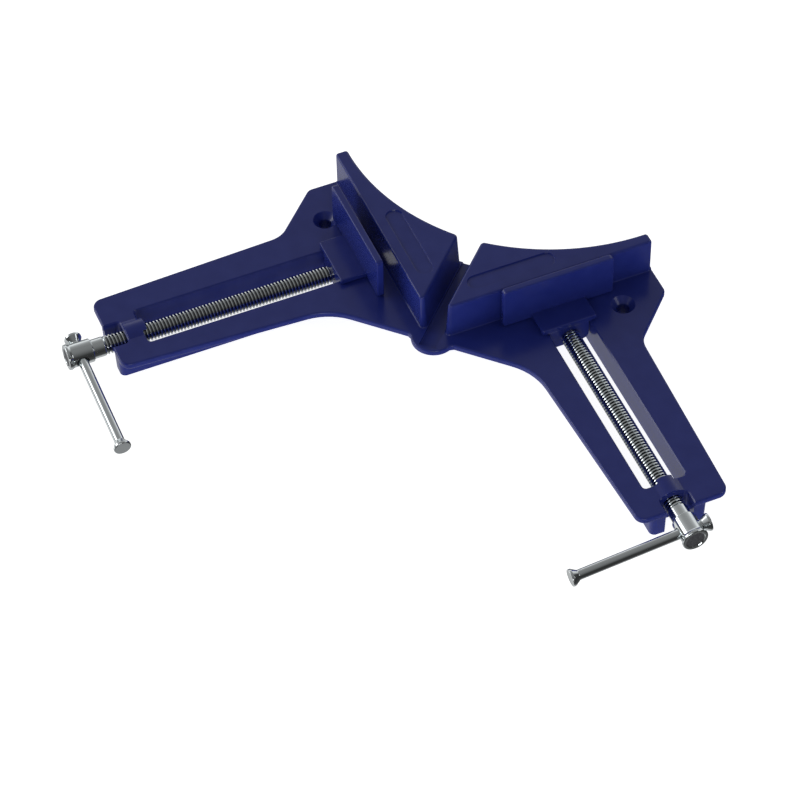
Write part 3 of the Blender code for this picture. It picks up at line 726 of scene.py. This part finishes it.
# A trapezoidal right-hand thread on a grid: rows run along the helix, columns round the bar
def threadTree():
    tree = bpy.data.node_groups.new("trapezoidal_thread", "GeometryNodeTree")
    tree.is_modifier = True
    sizes = ("Pitch", "Crest Radius", "Depth", "Length")
    for name in sizes:
        tree.interface.new_socket(name, in_out="INPUT", socket_type="NodeSocketFloat")
    tree.interface.new_socket("Material", in_out="INPUT", socket_type="NodeSocketMaterial")
    tree.interface.new_socket("Geometry", in_out="OUTPUT", socket_type="NodeSocketGeometry")
    given = addNode(tree, "NodeGroupInput").outputs

    def maths(operation, first, second=0.0):
        return addMaths(tree, operation, first, second)

    pitch, crestRadius, grooveDepth, length = (given[name] for name in sizes)
    sweep = maths("ADD", length, maths("MULTIPLY", pitch, 2.0))
    rowCount = maths("ADD", maths("MULTIPLY", maths("DIVIDE", sweep, pitch), leadScrew["rowsPerTurn"]), 1.0)
    grid = addNode(tree, "GeometryNodeMeshGrid", {
        "Size X": sweep, "Size Y": 2 * pi, "Vertices X": rowCount, "Vertices Y": leadScrew["columns"]})
    flatSpot = addNode(tree, "GeometryNodeInputPosition").outputs[0]
    place = addNode(tree, "ShaderNodeSeparateXYZ", {0: flatSpot})
    row = maths("ADD", place.outputs["X"], maths("MULTIPLY", sweep, 0.5))
    angle = place.outputs["Y"]
    climb = maths("MULTIPLY", maths("DIVIDE", angle, 2 * pi), pitch)
    reach = maths("SUBTRACT", maths("ADD", row, climb), pitch)
    phase = maths("FRACT", maths("ADD", maths("DIVIDE", row, pitch), leadScrew["phaseShift"]))
    swing = maths("MULTIPLY", maths("ABSOLUTE", maths("SUBTRACT", phase, 0.5)), 2.0)
    depth = mapRange(tree, swing, (leadScrew["crest"], leadScrew["root"]))
    root = maths("SUBTRACT", crestRadius, grooveDepth)
    full = maths("SUBTRACT", crestRadius, maths("MULTIPLY", depth, grooveDepth))
    # the thread rises out of its root at both ends, and its first and last rows close on the axis
    fromEnd = maths("MINIMUM", reach, maths("SUBTRACT", length, reach))
    allowed = maths("ADD", root, maths("MAXIMUM", fromEnd, 0.0))
    inside = maths("GREATER_THAN", maths("MINIMUM", row, maths("SUBTRACT", sweep, row)), shortest / 2)
    radius = maths("MULTIPLY", maths("MINIMUM", full, allowed), inside)
    spot = addNode(tree, "ShaderNodeCombineXYZ", {
        "X": maths("MINIMUM", maths("MAXIMUM", reach, 0.0), length),
        "Y": maths("MULTIPLY", radius, maths("COSINE", angle)),
        "Z": maths("MULTIPLY", radius, maths("SINE", angle))})

    def step(kind, geometry, inputs=None, settings=None):
        return addNode(tree, kind, {"Geometry": geometry, **(inputs or {})}, settings).outputs[0]

    mesh = step("GeometryNodeStoreNamedAttribute", grid.outputs["Mesh"],
                {"Name": "groove", "Value": depth}, {"data_type": "FLOAT"})
    mesh = step("GeometryNodeSetPosition", mesh, {"Position": spot.outputs[0]})
    mesh = step("GeometryNodeMergeByDistance", mesh, {"Distance": weld})
    mesh = step("GeometryNodeRealizeInstances", mesh)
    mesh = step("GeometryNodeSetMaterial", mesh, {"Material": given["Material"]})
    addNode(tree, "NodeGroupOutput", {"Geometry": mesh})
    return tree


def makeThread(tree):
    thing = addObject("thread", bpy.data.meshes.new("thread"))
    modifier = thing.modifiers.new("thread", "NODES")
    modifier.node_group = tree
    values = {**leadScrew, "Material": screwPlate}
    for item in tree.interface.items_tree:
        if item.in_out == "INPUT" and item.name in values:
            modifier[item.identifier] = values[item.name]
    thread = plainMesh(thing)
    shape = bmesh.new()
    shape.from_mesh(thread.data)
    bmesh.ops.dissolve_degenerate(shape, edges=shape.edges, dist=weld)
    bmesh.ops.recalc_face_normals(shape, faces=shape.faces)
    shape.to_mesh(thread.data)
    shape.free()
    thread.data.transform(Matrix.Translation((leadScrew["start"], 0, 0)))
    thread.data.shade_smooth()
    thread.data.set_sharp_from_angle(angle=radians(threadAngle))
    markAlong(thread)
    return thread


def makeScrewEnds():
    journal, groove = leadScrew["journal"], leadScrew["groove"]
    edge, foot = leadScrew["grooveEdge"], leadScrew["grooveFoot"]
    tipStart, tipEnd = leadScrew["tip"], leadScrew["start"] + leadScrew["tipLap"]
    grooveStart = leadScrew["grooveCentre"] - leadScrew["grooveWidth"] / 2
    grooveEnd = leadScrew["grooveCentre"] + leadScrew["grooveWidth"] / 2
    tip = turned("tip", roundedProfile([
        ((tipStart, 0), 0), ((tipStart, journal), leadScrew["tipEdge"]), ((grooveStart, journal), edge),
        ((grooveStart, groove), foot), ((grooveEnd, groove), foot), ((grooveEnd, journal), edge),
        ((tipEnd, journal), 0), ((tipEnd, 0), 0)]))
    neck, radius, flange = leadScrew["neck"], leadScrew["head"], leadScrew["flange"]
    start, end, thickness = leadScrew["headStart"], leadScrew["headEnd"], leadScrew["flangeThickness"]
    neckStart = leadScrew["start"] + leadScrew["Length"] - leadScrew["neckLap"]
    chamferLength, chamferDepth = leadScrew["neckChamfer"]
    floor, recessEdge = end - leadScrew["recess"], leadScrew["recessEdge"]
    head = turned("head", roundedProfile([
        ((neckStart, 0), 0), ((neckStart, neck - chamferDepth), 0),
        ((neckStart + chamferLength, neck), leadScrew["neckEdge"]), ((start, neck), leadScrew["neckFoot"]),
        ((start, radius), leadScrew["headEdge"]),
        ((end - thickness * leadScrew["flare"], radius), leadScrew["flareBlend"]),
        ((end - thickness, flange), leadScrew["flangeEdge"]), ((end, flange), leadScrew["flangeRim"]),
        ((end, radius - leadScrew["recessRim"]), recessEdge),
        ((floor, radius - leadScrew["recessFloor"]), recessEdge),
        ((floor, 0), 0)]))
    cross = Matrix.Translation((leadScrew["barHole"], 0, 0)) @ Matrix.Rotation(pi / 2, 4, "Z")
    hole = bar["radius"] + run
    sink = leadScrew["holeSink"]
    # the hole and its countersinks, wide where the head's side falls away
    half = [(2 * radius, 0), (2 * radius, hole + sink * 3), (radius, hole + sink), (radius - sink * 2, hole)]
    drill = turned("drill", [(-reach, wide) for reach, wide in half] + half[::-1], cross)
    head = carve(head, (), [drill])
    for thing in (tip, head):
        markAlong(thing)
    return smoothFaces(tip), smoothFaces(head)


def makeLeadScrew(side, word, tree):
    tip, head = makeScrewEnds()
    screw = joinMeshes([makeThread(tree), tip, head], "screw")
    for face in screw.data.polygons:
        deep = face.center.x > leadScrew["headEnd"] - leadScrew["darkDepth"]
        facing = face.normal.x > leadScrew["darkLean"]
        central = hypot(face.center.y, face.center.z) < leadScrew["head"] - leadScrew["darkRim"]
        face.material_index = int(deep and facing and central)
    matrix = armMatrix(movingJaw[word + "Opening"], casting["screwHeight"], side) @ barLie(side)
    fitPiece(screw, word + "_threaded_screw", [screwPlate, headEnd], matrix, word + "_screw",
             word + "_lead_screw")


bar = {
    "radius": 0.0027, "reach": 0.0622, "knob": 0.0046, "knobLength": 0.0044, "knobRim": 0.0014,
    "knobEdge": 0.0005, "knobTurn": 0.0004, "knobFoot": 0.0008, "shoulder": 0.0001, "capFoot": 0.0002,
    "spigot": 0.0017, "spigotLength": 0.0036, "spigotEdge": 0.0002, "press": 0.00005,
}


# The bar lies with its long end's knob just over the bench
def barLie(side):
    lowEnd = bar["reach"] + bar["knobLength"] / 2
    tilt = asin((casting["screwHeight"] - seat) / hypot(lowEnd, bar["knob"])) - atan2(bar["knob"], lowEnd)
    return Matrix.Rotation(side * tilt, 4, "X")


def makeBar(side, word):
    radius, knob, spigot, press = bar["radius"], bar["knob"], bar["spigot"], bar["press"]
    knobEdge, knobTurn = bar["knobEdge"], bar["knobTurn"]
    low = -bar["reach"] - bar["knobLength"] / 2
    seatEnd = leadScrew["head"] + seat
    spigotEnd = seatEnd + bar["spigotLength"]
    slider = turned("bar", roundedProfile([
        ((low, 0), 0), ((low, knob), knobEdge), ((low + bar["knobRim"], knob), knobTurn),
        ((low + bar["knobLength"], radius), bar["knobFoot"]), ((seatEnd, radius), bar["shoulder"]),
        ((seatEnd, spigot), 0), ((spigotEnd, spigot), bar["spigotEdge"]), ((spigotEnd, 0), 0)]))
    high = seatEnd + bar["knobLength"]
    bore = spigot + press
    cap = turned("cap", roundedProfile([
        ((spigotEnd + press, 0), 0), ((spigotEnd + press, bore), 0), ((seatEnd + press, bore), 0),
        ((seatEnd + press, radius), bar["capFoot"]), ((high - bar["knobRim"], knob), knobTurn),
        ((high, knob), knobEdge), ((high, 0), 0)]))
    matrix = armMatrix(movingJaw[word + "Opening"], casting["screwHeight"], side) @ barLie(side)
    across = Matrix.Rotation(side * pi / 2, 4, "Z")
    matrix = matrix @ Matrix.Translation((leadScrew["barHole"], 0, 0)) @ across
    for thing, name, node, slot in ((slider, "_sliding_bar", "_tommy_bar", "bright_bar_steel"),
                                    (cap, "_end_knob", "_bar_cap", "bright_cap_steel")):
        markAlong(thing)
        fitPiece(smoothFaces(thing, angle=38), word + name, [barPlate], matrix,
                 word + "_bar", word + node)


thread = threadTree()
for side, word in ((1, "right"), (-1, "left")):
    makeLeadScrew(side, word, thread)
    makeBar(side, word)


studio = {
    "floor": "F4F4F4", "floorHalf": 3.0, "floorDrop": 0.0001, "floorRoughness": 0.9, "floorSpecular": 0.1,
    "floorGlow": 0.90,
    # brightness of the room from straight down to straight up, on its near right and its far left side
    "roomDark": ((0.0, 0.60), (0.12, 0.06), (0.44, 0.03), (0.66, 0.04), (1.0, 0.22)),
    "roomLit": ((0.0, 0.80), (0.12, 0.70), (0.38, 0.90), (0.45, 0.03), (0.51, 0.03),
                (0.57, 0.85), (0.70, 0.85), (0.80, 0.45), (0.90, 0.30), (1.0, 0.22)),
    # the way to the lit side and how softly it starts, above and below the horizon
    "roomTurns": ((-0.75, 0.45, 0.0), (-1.0, 0.0, 0.0)), "roomBlends": ((-0.15, 0.30), (-0.11, 0.91)),
    # name, place, width, height, power
    "softboxes": (("front_low", (0.75, -1.65, 0.60), 1.0, 0.6, 6.0),
                  ("left_side", (-1.5, -0.35, 0.6), 0.8, 0.6, 3),
                  ("right_side", (1.5, 0.1, 0.9), 0.5, 0.8, 2)),
    "target": (0.0007, -0.0718, 0.0165), "azimuth": radians(22.97), "elevation": radians(49.10),
    "roll": radians(-1.255), "distance": 1.7175, "lens": 153.36, "sensor": 36,
}


# White paper that glows a little, as the photograph's ground is pure white
def makeFloor():
    mesh = bpy.data.meshes.new("floor")
    half = studio["floorHalf"]
    corners = [(-half, -half, 0), (half, -half, 0), (half, half, 0), (-half, half, 0)]
    mesh.from_pydata(corners, [], [(0, 1, 2, 3)])
    floor = addObject("floor", mesh)
    floor.location.z = -studio["floorDrop"]
    material = bpy.data.materials.new("matt_paper")
    material.use_nodes = True
    shader = material.node_tree.nodes["Principled BSDF"]
    shader.inputs["Base Color"].default_value = linear(studio["floor"])
    shader.inputs["Roughness"].default_value = studio["floorRoughness"]
    shader.inputs["Specular IOR Level"].default_value = studio["floorSpecular"]
    shader.inputs["Emission Color"].default_value = (1, 1, 1, 1)
    shader.inputs["Emission Strength"].default_value = studio["floorGlow"]
    mesh.materials.append(material)
    floor.visible_glossy = False  # the paint and the plating mirror the room and not a bright table


def makeRoom():
    world = bpy.data.worlds.new("studio")
    bpy.context.scene.world = world
    world.use_nodes = True
    tree = world.node_tree
    way = addNode(tree, "ShaderNodeTexCoord").outputs["Generated"]
    rise = addNode(tree, "ShaderNodeSeparateXYZ", {0: way}).outputs["Z"]
    share = mapRange(tree, rise, (-1.0, 1.0))
    walls = []
    for wall in ("roomDark", "roomLit"):
        ramp = addNode(tree, "ShaderNodeValToRGB", {"Fac": share})
        points = ramp.color_ramp.elements
        for place, level in studio[wall]:
            point = points.new(place) if 0 < place < 1 else points[0 if place == 0 else -1]
            point.color = (level, level, level, 1)
        walls.append(ramp.outputs[0])
    blends = []
    for around, blend in zip(studio["roomTurns"], studio["roomBlends"]):
        turn = addNode(tree, "ShaderNodeVectorMath", {0: way, 1: around}, {"operation": "DOT_PRODUCT"})
        blends.append(mapRange(tree, turn.outputs["Value"], blend))
    below = addMaths(tree, "LESS_THAN", rise)
    lit = addNode(tree, "ShaderNodeMix", {0: below, 2: blends[0], 3: blends[1]}).outputs[0]
    tree.links.new(mixColours(tree, lit, *walls), tree.nodes["Background"].inputs["Color"])


def addSoftbox(name, place, width, height, power):
    light = bpy.data.lights.new(name, "AREA")
    light.shape = "RECTANGLE"
    light.size = width
    light.size_y = height
    light.energy = power
    lamp = bpy.data.objects.new(name, light)
    lamp.location = place
    lamp.rotation_euler = (-Vector(place)).to_track_quat("-Z", "Y").to_euler()
    bpy.context.scene.collection.objects.link(lamp)


def addCamera():
    azimuth, elevation, roll = studio["azimuth"], studio["elevation"], studio["roll"]
    back = Vector((sin(azimuth) * cos(elevation), -cos(azimuth) * cos(elevation), sin(elevation)))
    right = (-back).cross(Vector((0, 0, 1))).normalized()
    up = right.cross(-back)
    across = cos(roll) * right + sin(roll) * up
    above = -sin(roll) * right + cos(roll) * up
    place = Vector(studio["target"]) + back * studio["distance"]
    data = bpy.data.cameras.new("camera")
    data.lens = studio["lens"]
    data.sensor_width = studio["sensor"]
    camera = bpy.data.objects.new("camera", data)
    camera.matrix_world = Matrix.Translation(place) @ Matrix((across, above, back)).transposed().to_4x4()
    bpy.context.scene.collection.objects.link(camera)
    bpy.context.scene.camera = camera


makeFloor()
makeRoom()
for softbox in studio["softboxes"]:
    addSoftbox(*softbox)
addCamera()
bpy.context.scene.view_settings.view_transform = "Standard"
print("stage set")
